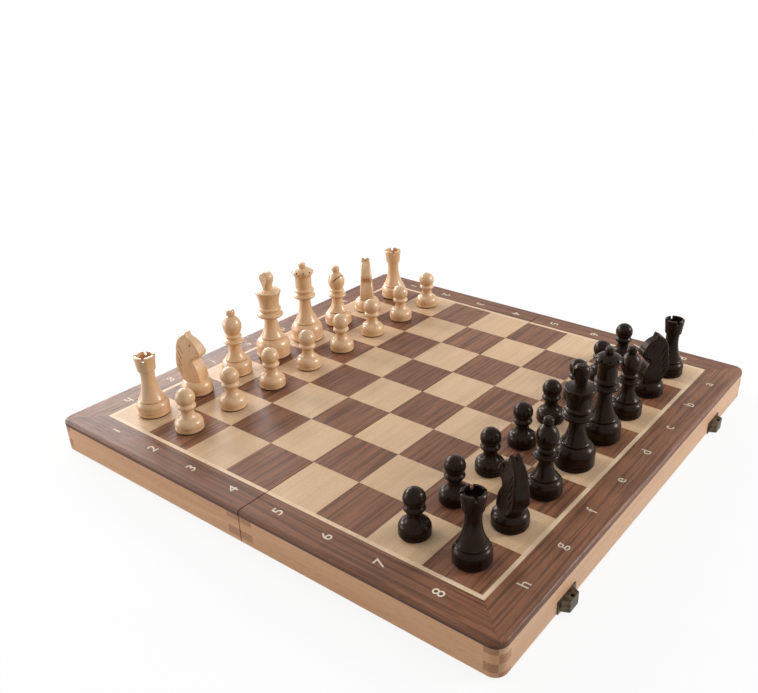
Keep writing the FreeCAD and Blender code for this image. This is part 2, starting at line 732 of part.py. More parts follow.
def king():
    """Two collars under a flared crown, with a flat-sided knob instead of a cross."""
    rim_z = KING_H - KING_KNOB_H
    waist_z = rim_z - KING_CROWN_H
    upper_z = waist_z - KING_UPPER_H
    low_z = upper_z - KING_COLLAR_H
    bulge_z = KING_H - KING_KNOB_BULGE
    stalk_z = rim_z + KING_RIM
    steps = foot(KING_BASE_R, KING_SHOULDER, KING_DOME, KING_RING_R - FOOT_EASE)
    steps += stem(KING_RING_R, KING_DOME, KING_NECK_R, low_z)
    steps += collar(KING_COLLAR_R, low_z, KING_COLLAR_H, KING_WAIST_R)
    steps += collar(KING_UPPER_R, upper_z, KING_UPPER_H, KING_WAIST_R)
    steps += [
        ("bend", KING_WAIST_R, (waist_z + rim_z) / 2, KING_CROWN_R, rim_z - KING_RIM),
        ("bend", KING_CROWN_R, rim_z, KING_CROWN_R - KING_RIM, rim_z),
        ("line", KING_STALK_R, stalk_z),
        ("bend", KING_STALK_R, (stalk_z + bulge_z) / 2, KING_KNOB_R, bulge_z),
        ("bend", KING_KNOB_R, KING_H, KING_KNOB_R / 2, KING_H),
        ("line", 0, KING_H),
    ]
    sides = [Part.makeBox(4 * KING_KNOB_R, KING_KNOB_R, KING_KNOB_H,
                          vec(-2 * KING_KNOB_R, y, rim_z + KING_KNOB_SHELF))
             for y in (KING_KNOB_T / 2, -KING_KNOB_T / 2 - KING_KNOB_R)]
    return turned(steps).cut(sides).Solids[0]


# Knight: a turned foot under a head that is sawn to its outline, tapered, rounded and carved
def knight_point(landmark):
    """Place of a landmark that is given from the nose and the ears."""
    return (KNIGHT_NOSE - landmark[0], KNIGHT_EAR_Z - landmark[1])


def knight_half_t(z):
    """Half the thickness of the head at a height: it widens from the ears down to the chest."""
    low = KNIGHT_DOME - KNIGHT_SINK
    share = (KNIGHT_EAR_Z - z) / (KNIGHT_EAR_Z - low)
    return (KNIGHT_EAR_T + (KNIGHT_CHEST_T - KNIGHT_EAR_T) * share) / 2


def knight_outline():
    """Side view of the head, from inside the foot over the mane, ear and nose to the chest."""
    low = KNIGHT_DOME - KNIGHT_SINK
    nape = knight_point(KNIGHT_NAPE)
    steps = [
        ("arc", -KNIGHT_MANE, (low + nape[1]) / 2, *nape),
        ("arc", *knight_point(KNIGHT_CROWN), *knight_point(KNIGHT_POLL)),
        ("line", *knight_point(KNIGHT_EAR)),
        ("line", *knight_point(KNIGHT_BROW)),
        ("bend", *knight_point(KNIGHT_FACE), *knight_point(KNIGHT_MUZZLE)),
        ("arc", *knight_point(KNIGHT_TIP), *knight_point(KNIGHT_LIP)),
        ("line", *knight_point(KNIGHT_CHIN)),
        ("line", *knight_point(KNIGHT_JAW)),
        ("arc", *knight_point(KNIGHT_THROAT), *knight_point(KNIGHT_GULLET)),
        ("bend", *knight_point(KNIGHT_CHEST), KNIGHT_NOSE - KNIGHT_BREAST, low),
    ]
    return outline_face((KNIGHT_TAIL - KNIGHT_MANE, low), steps)


def knight_head():
    low = KNIGHT_DOME - KNIGHT_SINK
    top = KNIGHT_EAR_Z + KNIGHT_CREST
    front_view = [(-knight_half_t(low), low), (-knight_half_t(top), top), (knight_half_t(top), top),
                  (knight_half_t(low), low)]
    points = [vec(-KNIGHT_EAR_Z, y, z) for y, z in front_view]
    taper = Part.Face(Part.makePolygon(points + points[:1])).extrude(vec(2 * KNIGHT_EAR_Z, 0, 0))
    spread = Part.makeCone(KNIGHT_SEAT_R, KNIGHT_SEAT_R + KNIGHT_EAR_Z / 2, KNIGHT_EAR_Z, vec(0, 0, low))
    sawn = knight_outline()
    sawn.translate(vec(0, -KNIGHT_EAR_Z / 2, 0))
    head = sawn.extrude(vec(0, KNIGHT_EAR_Z, 0)).common(taper).common(spread).Solids[0]
    return head.makeFillet(KNIGHT_ROUND, knight_side_edges(head))


def knight_side_edges(head):
    """Edges round the two flat sides, apart from those that run down into the foot."""
    inside_foot = KNIGHT_DOME - KNIGHT_SINK + FOOT_GROOVE / 2
    sides = [face for face in head.Faces if abs(face.normalAt(0, 0).y) > 0.9]
    return [edge for side in sides for edge in side.Edges if edge.BoundBox.ZMin > inside_foot]


def knight_carving():
    """Mane strokes, eyes and nostrils on both sides, the mouth, and the cleft between the ears."""
    cuts = []
    low = KNIGHT_DOME - KNIGHT_SINK
    nape_x, nape_z = knight_point(KNIGHT_NAPE)
    top_z = KNIGHT_EAR_Z - KNIGHT_STROKE_TOP
    pitch = (top_z - KNIGHT_STROKE_LOW) / KNIGHT_STROKES
    middle = (low + nape_z) / 2
    for side in (-1, 1):
        for count in range(KNIGHT_STROKES):
            z = KNIGHT_STROKE_LOW + count * pitch
            back = -KNIGHT_MANE + (nape_x + KNIGHT_MANE) * ((z - middle) / (nape_z - middle)) ** 2
            y = side * (knight_half_t(z) - KNIGHT_GROOVE)
            stroke = Part.makeBox(KNIGHT_STROKE_L, KNIGHT_CHEST_T, KNIGHT_GROOVE,
                                  vec(0, min(0, KNIGHT_CHEST_T * side), -KNIGHT_GROOVE / 2))
            stroke.rotate(vec(0, 0, 0), vec(0, 1, 0), KNIGHT_STROKE_SLANT)
            stroke.translate(vec(back + KNIGHT_STROKE_IN, y, z))
            cuts.append(stroke)
        for landmark, radius in ((KNIGHT_EYE, KNIGHT_EYE_R), (KNIGHT_NOSTRIL, KNIGHT_NOSTRIL_R)):
            x, z = knight_point(landmark)
            y = side * (knight_half_t(z) - KNIGHT_GROOVE)
            cuts.append(rod(radius, vec(x, y, z), vec(x, y + KNIGHT_CHEST_T * side, z)))
    x, z = knight_point(KNIGHT_MOUTH)
    cuts.append(Part.makeBox(KNIGHT_NOSE, KNIGHT_EAR_Z, KNIGHT_GROOVE, vec(x, -KNIGHT_EAR_Z / 2, z)))
    above = KNIGHT_EAR_Z + KNIGHT_CREST
    cleft = [(-KNIGHT_CLEFT, above), (0, KNIGHT_EAR_Z - KNIGHT_CLEFT_DEPTH), (KNIGHT_CLEFT, above)]
    points = [vec(-KNIGHT_MANE, y, z) for y, z in cleft]
    cuts.append(Part.Face(Part.makePolygon(points + points[:1])).extrude(vec(2 * KNIGHT_MANE, 0, 0)))
    return cuts


def knight():
    steps = foot(KNIGHT_BASE_R, KNIGHT_SHOULDER, KNIGHT_DOME, KNIGHT_DOME_R)
    base = turned(steps + [("line", 0, KNIGHT_DOME)])
    return fused([base, knight_head()]).cut(knight_carving()).Solids[0]


def man(form, base_r, file_index, rank, facing):
    """A man's wood, magnet and felt, standing on its square."""
    magnet = Part.makeCylinder(MAGNET_R, MAGNET_H, vec(0, 0, PAD))
    wood = form.cut(magnet).Solids[0]
    felt = Part.makeCylinder(base_r - PAD_INSET, PAD, vec(0, 0, 0))
    x = rank * SQUARE - SQUARE / 2 - FIELD_HALF
    y = file_index * SQUARE + SQUARE / 2 - FIELD_HALF
    solids = [wood, magnet, felt]
    for solid in solids:
        solid.rotate(vec(0, 0, 0), vec(0, 0, 1), facing)
        solid.translate(vec(x, y, TOP))
    return solids


def build_board():
    for half, side in HALVES.items():
        for name, rail in rails(side).items():
            node(half + "_" + name, [rail])
        node(half + "_core_panel", [core_panel(side)])
        node(half + "_steel_sheet", [steel_sheet(side)])
        node(half + "_walnut_border", border(side))
        node(half + "_maple_inlay", stringing(side) + squares(side, True))
        node(half + "_walnut_squares", squares(side, False))
        node(half + "_felt_lining", [felt_lining(side)])
        leaves = [hinge_leaf(side, y) for y in hinge_places()]
        pins = [hinge_pin(y) for y in hinge_places()] if side < 0 else []
        node(half + "_hinge_leaves", leaves + pins)
        node(half + "_screws", [slotted(s) for s in hinge_screws(side)] + latch_nails(side))
    node("b_keepers", [keeper(y) for y in latch_places()])
    node("a_hasp_plates", [hasp_plate(y) for y in latch_places()] + [hasp_pin(y) for y in latch_places()])
    for name, y in zip(("front", "back"), latch_places()):
        node("hasp_lever_" + name, [hasp_lever(y)])


FILES = "hgfedcba"
BACK_ROW = {"h": "rook", "g": "knight", "f": "bishop", "e": "king", "d": "queen", "c": "bishop",
            "b": "knight", "a": "rook"}
TURNED_MEN = {"white_knight_g": 14, "white_knight_b": -50, "black_knight_b": 230, "black_knight_g": 150,
              "white_bishop_f": 140}


def build_men():
    forms = {
        "pawn": (pawn(), PAWN_BASE_R),
        "rook": (rook(), ROOK_BASE_R),
        "knight": (knight(), KNIGHT_BASE_R),
        "bishop": (bishop(), BISHOP_BASE_R),
        "queen": (queen(), QUEEN_BASE_R),
        "king": (king(), KING_BASE_R),
    }
    for colour, back_rank, pawn_rank, facing in (("white", 1, 2, 0), ("black", 8, 7, 180)):
        for index, letter in enumerate(FILES):
            kind = BACK_ROW[letter]
            name = colour + "_" + kind
            if kind not in ("king", "queen"):
                name += "_" + letter
            turn = TURNED_MEN.get(name, facing)
            node(name, man(*forms[kind], index, back_rank, turn))
            node(colour + "_pawn_" + letter, man(*forms["pawn"], index, pawn_rank, facing))


os.makedirs("parts", exist_ok=True)
build_board()
build_men()
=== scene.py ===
import math

import bmesh
import bpy
from mathutils import Matrix, Vector, noise


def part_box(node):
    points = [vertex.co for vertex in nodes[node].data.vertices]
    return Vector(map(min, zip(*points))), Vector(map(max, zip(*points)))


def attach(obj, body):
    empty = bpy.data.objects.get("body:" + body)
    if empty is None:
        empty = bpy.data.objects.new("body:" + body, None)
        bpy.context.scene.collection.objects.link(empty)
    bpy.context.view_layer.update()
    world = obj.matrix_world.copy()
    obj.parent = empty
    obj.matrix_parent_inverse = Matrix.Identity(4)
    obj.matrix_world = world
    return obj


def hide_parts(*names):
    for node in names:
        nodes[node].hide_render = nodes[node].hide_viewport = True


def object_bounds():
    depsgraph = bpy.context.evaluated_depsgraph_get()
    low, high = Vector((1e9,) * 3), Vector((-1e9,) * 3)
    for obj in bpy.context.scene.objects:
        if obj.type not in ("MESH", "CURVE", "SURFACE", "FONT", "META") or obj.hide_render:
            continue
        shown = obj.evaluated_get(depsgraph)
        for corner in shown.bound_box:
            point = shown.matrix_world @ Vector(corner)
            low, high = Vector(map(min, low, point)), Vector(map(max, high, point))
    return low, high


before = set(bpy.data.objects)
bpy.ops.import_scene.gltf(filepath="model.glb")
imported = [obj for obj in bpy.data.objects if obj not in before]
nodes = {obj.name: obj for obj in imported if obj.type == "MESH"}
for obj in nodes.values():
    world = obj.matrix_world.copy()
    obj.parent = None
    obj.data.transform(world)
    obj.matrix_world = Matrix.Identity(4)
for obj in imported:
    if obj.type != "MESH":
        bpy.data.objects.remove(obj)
cad_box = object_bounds()


# Rails: eight beech boards that make the walls of the two half boxes.
# They are finger-jointed at the corners, so each board shows its end grain there in dark
# blocks. Sanded, oiled and given one coat of satin varnish.
HALF_LENGTH = 0.1925
HALF_WIDTH = 0.1905
CORNER_ROUND = 0.008
BLOCK_EDGE = 0.0006


def tone(red, green, blue):
    """A colour as it looks on a screen, 0 to 255, for a shader socket."""
    parts = []
    for part in (red, green, blue):
        part = part / 255
        parts.append(part / 12.92 if part <= 0.04045 else ((part + 0.055) / 1.055) ** 2.4)
    return (*parts, 1.0)


def put(tree, kind, inputs=None, **settings):
    """A new node, with its settings made and each input linked or set."""
    node = tree.nodes.new(kind)
    for name, value in settings.items():
        setattr(node, name, value)
    for name, value in (inputs or {}).items():
        if isinstance(value, bpy.types.NodeSocket):
            tree.links.new(value, node.inputs[name])
        else:
            node.inputs[name].default_value = value
    return node


def math_of(tree, operation, *values):
    """The result of one sum on sockets or numbers."""
    return put(tree, "ShaderNodeMath", dict(enumerate(values)), operation=operation).outputs[0]


def ramp(tree, value, low, high, start=0.0, end=1.0):
    """The value taken smoothly from start at low to end at high."""
    limits = {"Value": value, "From Min": low, "From Max": high, "To Min": start, "To Max": end}
    return put(tree, "ShaderNodeMapRange", limits, interpolation_type="SMOOTHSTEP").outputs[0]


def blend(tree, amount, first, second, mode="MIX"):
    """Two colours mixed by an amount."""
    mix = put(tree, "ShaderNodeMix", {0: amount, 6: first, 7: second}, data_type="RGBA", blend_type=mode)
    return mix.outputs[2]


def axes(tree):
    """The place on the piece in metres: the whole vector, and its X, Y and Z."""
    place = put(tree, "ShaderNodeTexCoord").outputs["Object"]
    split = put(tree, "ShaderNodeSeparateXYZ", {0: place})
    return place, split.outputs[0], split.outputs[1], split.outputs[2]


def along(tree, x, y, z):
    """A vector whose first part runs with the grain."""
    return put(tree, "ShaderNodeCombineXYZ", {0: x, 1: y, 2: z}).outputs[0]


def new_group(name, inputs, outputs):
    """An empty shader node group with named sockets, and its two end nodes."""
    group = bpy.data.node_groups.new(name, "ShaderNodeTree")
    for socket, kind in inputs.items():
        group.interface.new_socket(socket, in_out="INPUT", socket_type=kind)
    for socket in outputs:
        group.interface.new_socket(socket, in_out="OUTPUT", socket_type="NodeSocketFloat")
    return group, group.nodes.new("NodeGroupInput"), group.nodes.new("NodeGroupOutput")


def stretched_noise(tree, place, length, width, detail, wander):
    """Noise drawn out along the grain, about 0 to 1."""
    size = put(tree, "ShaderNodeCombineXYZ", {0: length, 1: width, 2: width}).outputs[0]
    scaled = put(tree, "ShaderNodeVectorMath", {0: place, 1: size}, operation="DIVIDE").outputs[0]
    wood = {"Vector": scaled, "Scale": 1.0, "Detail": detail, "Distortion": wander}
    return put(tree, "ShaderNodeTexNoise", wood).outputs[0]


def make_wood_figure():
    """Growth rings, fibres and pores of a board, as three masks."""
    sizes = ("Ring Length", "Ring Width", "Fibre Length", "Fibre Width", "Pore Length", "Pore Width")
    inputs = {"Along Grain": "NodeSocketVector"}
    inputs.update({size: "NodeSocketFloat" for size in sizes})
    group, start, end = new_group("wood figure", inputs, ("Rings", "Fibres", "Pores"))
    given = start.outputs
    place = given["Along Grain"]
    rings = stretched_noise(group, place, given["Ring Length"], given["Ring Width"], 2.0, 0.6)
    fibres = stretched_noise(group, place, given["Fibre Length"], given["Fibre Width"], 3.0, 0.0)
    pores = stretched_noise(group, place, given["Pore Length"], given["Pore Width"], 1.0, 0.0)
    group.links.new(ramp(group, rings, 0.3, 0.7), end.inputs["Rings"])
    group.links.new(ramp(group, fibres, 0.25, 0.75), end.inputs["Fibres"])
    group.links.new(ramp(group, pores, 0.56, 0.68), end.inputs["Pores"])
    return group


wood_figure = make_wood_figure()


def figure(tree, place, ring, fibre, pore):
    """The wood figure placed in a material; each size is (length, width) in metres."""
    node = put(tree, "ShaderNodeGroup", node_tree=wood_figure)
    tree.links.new(place, node.inputs["Along Grain"])
    for name, size in (("Ring", ring), ("Fibre", fibre), ("Pore", pore)):
        node.inputs[name + " Length"].default_value = size[0]
        node.inputs[name + " Width"].default_value = size[1]
    return node.outputs["Rings"], node.outputs["Fibres"], node.outputs["Pores"]


def new_material(name):
    """A material with its node tree and its Principled shader."""
    material = bpy.data.materials.new(name)
    material.use_nodes = True
    return material, material.node_tree, material.node_tree.nodes["Principled BSDF"]


def feed(tree, shader, colour, roughness, height=None, depth=0.0001):
    """Colour, roughness and a bump of that depth in metres into the shader."""
    tree.links.new(colour, shader.inputs["Base Color"])
    tree.links.new(roughness, shader.inputs["Roughness"])
    if height is not None:
        bump = put(tree, "ShaderNodeBump", {"Height": height, "Strength": 1.0, "Distance": depth})
        tree.links.new(bump.outputs[0], shader.inputs["Normal"])


def beech(name, grain_along_x, pale, deep):
    """Varnished beech whose boards run along X or along Y."""
    material, tree, shader = new_material(name)
    place, x, y, z = axes(tree)
    if grain_along_x:
        lengthwise, across = x, y
        block_start, corner_start = HALF_LENGTH - CORNER_ROUND, HALF_WIDTH - CORNER_ROUND
    else:
        lengthwise, across = y, x
        block_start, corner_start = HALF_WIDTH - CORNER_ROUND, HALF_LENGTH - CORNER_ROUND
    # A board's end grain begins half way round the rounded corner.
    past_end = math_of(tree, "SUBTRACT", math_of(tree, "ABSOLUTE", lengthwise), block_start)
    past_side = math_of(tree, "SUBTRACT", math_of(tree, "ABSOLUTE", across), corner_start)
    past_side = math_of(tree, "MAXIMUM", past_side, 0.0)
    end_grain = ramp(tree, math_of(tree, "SUBTRACT", past_end, past_side), 0.0, BLOCK_EDGE)
    board = along(tree, lengthwise, across, z)
    rings, fibres, pores = figure(tree, board, (0.16, 0.009), (0.03, 0.0011), (0.004, 0.00045))
    colour = blend(tree, rings, pale, deep)
    colour = blend(tree, math_of(tree, "MULTIPLY", fibres, 0.35), colour, tone(226, 184, 146))
    colour = blend(tree, math_of(tree, "MULTIPLY", pores, 0.25), colour, tone(156, 106, 72))
    flecks = put(tree, "ShaderNodeTexNoise", {"Vector": place, "Scale": 1400.0, "Detail": 1.0}).outputs[0]
    ends = blend(tree, ramp(tree, flecks, 0.35, 0.65), tone(170, 120, 85), tone(188, 138, 102))
    colour = blend(tree, end_grain, colour, ends)
    roughness = ramp(tree, fibres, 0.0, 1.0, 0.42, 0.5)
    feed(tree, shader, colour, roughness, math_of(tree, "SUBTRACT", fibres, pores), 0.00004)
    shader.inputs["Specular IOR Level"].default_value = 0.25
    return material


def finish_nodes(material, *names):
    """Gives CAD nodes their finish."""
    for name in names:
        mesh = nodes[name].data
        mesh.materials.clear()
        mesh.materials.append(material)


long_beech = beech("beech along the board", True, tone(220, 168, 126), tone(206, 150, 108))
cross_beech = beech("beech across the board", False, tone(211, 170, 135), tone(199, 154, 118))
for half in "ab":
    finish_nodes(long_beech, half + "_front_rail", half + "_back_rail")
    finish_nodes(cross_beech, half + "_hinge_rail", half + "_end_rail")


# Core panels: thin plywood glued into the rails, the ground for the playing face.
# Raw birch plies, seen only inside an open half box, at the edges of the lining.
PLY = 0.0016


def plywood():
    material, tree, shader = new_material("birch plywood")
    place, x, y, z = axes(tree)
    rings, fibres, pores = figure(tree, place, (0.12, 0.02), (0.02, 0.0012), (0.003, 0.0004))
    colour = blend(tree, rings, tone(214, 184, 142), tone(198, 163, 119))
    colour = blend(tree, math_of(tree, "MULTIPLY", fibres, 0.4), colour, tone(224, 198, 160))
    plies = math_of(tree, "SINE", math_of(tree, "MULTIPLY", z, 2 * math.pi / PLY))
    colour = blend(tree, ramp(tree, plies, 0.3, 0.9, 0.0, 0.25), colour, tone(150, 110, 74))
    feed(tree, shader, colour, ramp(tree, fibres, 0.0, 1.0, 0.6, 0.75), pores, 0.00003)
    return material


finish_nodes(plywood(), "a_core_panel", "b_core_panel")


# Steel sheets: plain sheet steel bedded under the squares, which the men's magnets hold to.
# Cold rolled, with the faint lines of the rollers.
def rolled_steel():
    material, tree, shader = new_material("rolled steel sheet")
    place, x, y, z = axes(tree)
    lines = stretched_noise(tree, place, 0.05, 0.0008, 2.0, 0.0)
    colour = blend(tree, ramp(tree, lines, 0.3, 0.7), tone(150, 152, 154), tone(176, 178, 179))
    feed(tree, shader, colour, ramp(tree, lines, 0.3, 0.7, 0.3, 0.42))
    shader.inputs["Metallic"].default_value = 1.0
    return material


finish_nodes(rolled_steel(), "a_steel_sheet", "b_steel_sheet")


# Walnut border: three strips on each half with mitred corners and a rounded outer edge.
# Open-pored walnut, its grain running with each strip, under a satin varnish.
SIDE_STRIP = 0.0235
END_STRIP = 0.0255
MITRE_SEAM = 0.012
EDGE_SHADE_START = 0.0016
EDGE_SHADE_END = 0.003
OTHER_PLANK = 0.7
LIGHTER_PLANK = 0.25


def walnut(tree, grain, light):
    """Walnut's colour, roughness and height for a vector that runs with the grain."""
    rings, fibres, pores = figure(tree, grain, (0.2, 0.0065), (0.045, 0.0008), (0.009, 0.0003))
    colour = blend(tree, rings, tone(124, 81, 59), tone(100, 63, 44))
    colour = blend(tree, math_of(tree, "MULTIPLY", fibres, 0.6), colour, tone(146, 99, 73))
    colour = blend(tree, light, colour, tone(157, 109, 80))
    streaks = stretched_noise(tree, grain, 0.08, 0.0026, 2.0, 0.3)
    colour = blend(tree, ramp(tree, streaks, 0.46, 0.62, 0.0, 0.6), colour, tone(71, 43, 30))
    colour = blend(tree, math_of(tree, "MULTIPLY", pores, 0.4), colour, tone(62, 40, 30))
    open_grain = math_of(tree, "MULTIPLY", pores, 0.2)
    roughness = math_of(tree, "ADD", ramp(tree, fibres, 0.0, 1.0, 0.34, 0.42), open_grain)
    return colour, roughness, math_of(tree, "MULTIPLY", pores, -1.0)


def walnut_border():
    material, tree, shader = new_material("walnut border")
    place, x, y, z = axes(tree)
    from_end = math_of(tree, "SUBTRACT", HALF_LENGTH, math_of(tree, "ABSOLUTE", x))
    from_side = math_of(tree, "SUBTRACT", HALF_WIDTH, math_of(tree, "ABSOLUTE", y))
    end_share = math_of(tree, "DIVIDE", from_end, END_STRIP)
    side_share = math_of(tree, "DIVIDE", from_side, SIDE_STRIP)
    on_end = math_of(tree, "LESS_THAN", end_share, side_share)
    with_side = along(tree, x, y, z)
    with_end = along(tree, y, math_of(tree, "ADD", x, OTHER_PLANK), z)
    grain = put(tree, "ShaderNodeMix", {0: on_end, 4: with_side, 5: with_end}, data_type="VECTOR").outputs[1]
    patches = put(tree, "ShaderNodeTexNoise", {"Vector": grain, "Scale": 14.0, "Detail": 2.0}).outputs[0]
    # The end strips come from a lighter plank.
    plank = math_of(tree, "MULTIPLY", on_end, LIGHTER_PLANK)
    light = math_of(tree, "ADD", plank, ramp(tree, patches, 0.4, 0.75, 0.0, 0.2))
    colour, roughness, height = walnut(tree, grain, light)
    # A hair line of shadow shows the mitre.
    off_mitre = math_of(tree, "ABSOLUTE", math_of(tree, "SUBTRACT", end_share, side_share))
    seam = ramp(tree, off_mitre, 0.0, MITRE_SEAM, 0.5, 0.0)
    colour = blend(tree, seam, colour, tone(58, 38, 28))
    # Painted shade: the foot of the rounded outer edge is darker than the face, where it turns away from the
    # light.
    below_face = math_of(tree, "SUBTRACT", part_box("a_walnut_border")[1][2], z)
    colour = blend(tree, ramp(tree, below_face, EDGE_SHADE_START, EDGE_SHADE_END, 0.0, 0.75), colour, tone(60, 38, 28))
    feed(tree, shader, colour, roughness, height, 0.00004)
    shader.inputs["Specular IOR Level"].default_value = 0.22
    return material


finish_nodes(walnut_border(), "a_walnut_border", "b_walnut_border")


# Coordinates: rank numbers along both sides and file letters along both ends.
# Screen printed in cream ink on the border, each in line with the middle of its square.
SQUARE = 0.041
INK_HEIGHT = 0.0078
INK_THICKNESS = 0.00008
CAPITAL_SHARE = 0.7
NUMBER_OUT = 0.1763
WHITE_LETTER_FOOT = 0.1787
BLACK_LETTER_FOOT = 0.1815


def make_coordinate_run():
    """Characters set out one step apart, each centred on its step."""
    tree = bpy.data.node_groups.new("coordinate run", "GeometryNodeTree")
    face = tree.interface
    face.new_socket("Geometry", in_out="OUTPUT", socket_type="NodeSocketGeometry")
    kinds = {"Characters": "NodeSocketString", "Type Size": "NodeSocketFloat", "Step": "NodeSocketVector",
             "Thickness": "NodeSocketFloat", "Ink": "NodeSocketMaterial"}
    for name, kind in kinds.items():
        face.new_socket(name, in_out="INPUT", socket_type=kind)
    given = tree.nodes.new("NodeGroupInput").outputs
    words = {"String": given["Characters"], "Size": given["Type Size"]}
    text = put(tree, "GeometryNodeStringToCurves", words, pivot_mode="MIDPOINT")
    middle = put(tree, "ShaderNodeSeparateXYZ", {0: text.outputs["Pivot Point"]}).outputs[0]
    centring = put(tree, "ShaderNodeCombineXYZ", {0: middle}).outputs[0]
    count = put(tree, "GeometryNodeInputIndex").outputs[0]
    step = put(tree, "ShaderNodeVectorMath", {0: given["Step"], "Scale": count}, operation="SCALE").outputs[0]
    spot = put(tree, "ShaderNodeVectorMath", {0: step, 1: centring}, operation="SUBTRACT").outputs[0]
    moved = {"Geometry": text.outputs["Curve Instances"], "Position": spot}
    placed = put(tree, "GeometryNodeSetPosition", moved)
    solid = put(tree, "GeometryNodeRealizeInstances", {"Geometry": placed.outputs[0]})
    filled = put(tree, "GeometryNodeFillCurve", {"Curve": solid.outputs[0]}, mode="TRIANGLES")
    raised = {"Mesh": filled.outputs[0], "Offset Scale": given["Thickness"], "Individual": False}
    body = put(tree, "GeometryNodeExtrudeMesh", raised)
    whole = put(tree, "GeometryNodeRealizeInstances", {"Geometry": body.outputs["Mesh"]})
    inked = put(tree, "GeometryNodeSetMaterial", {"Geometry": whole.outputs[0], "Material": given["Ink"]})
    end = tree.nodes.new("NodeGroupOutput")
    tree.links.new(inked.outputs[0], end.inputs[0])
    return tree


def cream_ink():
    material, tree, shader = new_material("cream printing ink")
    place, x, y, z = axes(tree)
    speckle = put(tree, "ShaderNodeTexNoise", {"Vector": place, "Scale": 2600.0, "Detail": 2.0}).outputs[0]
    colour = blend(tree, ramp(tree, speckle, 0.3, 0.7), tone(210, 196, 174), tone(226, 213, 192))
    feed(tree, shader, colour, ramp(tree, speckle, 0.3, 0.7, 0.5, 0.62))
    return material


def set_input(modifier, tree, name, value):
    """Sets a Geometry Nodes input by its socket's identifier."""
    for item in tree.interface.items_tree:
        if item.item_type == "SOCKET" and item.in_out == "INPUT" and item.name == name:
            modifier[item.identifier] = value


def plain_mesh(piece):
    """The piece's evaluated shape as a mesh of its own."""
    evaluated = piece.evaluated_get(bpy.context.evaluated_depsgraph_get())
    return bpy.data.meshes.new_from_object(evaluated)


def new_piece(name, mesh):
    """A mesh as an object of the scene."""
    piece = bpy.data.objects.new(name, mesh)
    bpy.context.scene.collection.objects.link(piece)
    return piece


coordinate_run = make_coordinate_run()
ink = cream_ink()
border_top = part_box("a_walnut_border")[1][2]


def coordinates(name, runs):
    """Runs of (characters, step, first place, quarter turns) as one printed mesh."""
    printed = bmesh.new()
    for characters, step, first, turns in runs:
        carrier = new_piece("type setting", bpy.data.meshes.new("type setting"))
        modifier = carrier.modifiers.new("coordinate run", "NODES")
        modifier.node_group = coordinate_run
        set_input(modifier, coordinate_run, "Characters", characters)
        set_input(modifier, coordinate_run, "Type Size", INK_HEIGHT / CAPITAL_SHARE)
        set_input(modifier, coordinate_run, "Step", step)
        set_input(modifier, coordinate_run, "Thickness", INK_THICKNESS)
        set_input(modifier, coordinate_run, "Ink", ink)
        mesh = plain_mesh(carrier)
        carrier.modifiers.remove(modifier)
        bpy.data.objects.remove(carrier)
        turn = Matrix.Rotation(turns * math.pi / 2, 4, "Z")
        mesh.transform(Matrix.Translation(first) @ turn)
        printed.from_mesh(mesh)
        bpy.data.meshes.remove(mesh)
    bmesh.ops.remove_doubles(printed, verts=printed.verts, dist=1e-6)
    bmesh.ops.recalc_face_normals(printed, faces=printed.faces)
    mesh = bpy.data.meshes.new(name)
    printed.to_mesh(mesh)
    printed.free()
    mesh.materials.append(ink)
    return new_piece(name, mesh)


def numbers(ranks, first_rank):
    """Both sides' runs of rank numbers for one half."""
    first_x = (first_rank - 4.5) * SQUARE
    foot = INK_HEIGHT / 2
    near = (ranks, (0, -SQUARE, 0), (first_x + foot, -NUMBER_OUT, border_top), 1)
    far = (ranks, (0, SQUARE, 0), (first_x - foot, NUMBER_OUT, border_top), -1)
    return [near, far]


letter_step = (SQUARE, 0, 0)
white_letters = ("abcdefgh", letter_step, (-WHITE_LETTER_FOOT, 3.5 * SQUARE, border_top), -1)
black_letters = ("hgfedcba", letter_step, (BLACK_LETTER_FOOT, -3.5 * SQUARE, border_top), 1)
for half, ranks, first_rank, letters in (("a", "1234", 1, white_letters), ("b", "5678", 5, black_letters)):
    printing = coordinates(half + "_coordinates", numbers(ranks, first_rank) + [letters])
    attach(printing, "half_" + half)


# Light inlay: 16 maple squares on each half inside three strips of pale stringing.
# Sawn veneer glued down on the steel, sanded flush with the border and varnished with it.
FIELD = 4 * SQUARE


def square_cell(tree, x, y):
    """Three random parts for each square of the board, the same all over it."""
    column = math_of(tree, "FLOOR", math_of(tree, "DIVIDE", x, SQUARE))
    row = math_of(tree, "FLOOR", math_of(tree, "DIVIDE", y, SQUARE))
    cell = put(tree, "ShaderNodeCombineXYZ", {0: column, 1: row, 2: 3.0}).outputs[0]
    chance = put(tree, "ShaderNodeTexWhiteNoise", {"Vector": cell}, noise_dimensions="3D").outputs["Color"]
    return put(tree, "ShaderNodeSeparateXYZ", {0: chance}).outputs


def square_grain(tree, x, y, z, chance):
    """A vector along Y that starts anew in each square, as each is cut from its own leaf."""
    return along(
        tree,
        math_of(tree, "ADD", y, math_of(tree, "MULTIPLY", chance[0], 3.0)),
        math_of(tree, "ADD", x, math_of(tree, "MULTIPLY", chance[1], 2.0)),
        z,
    )


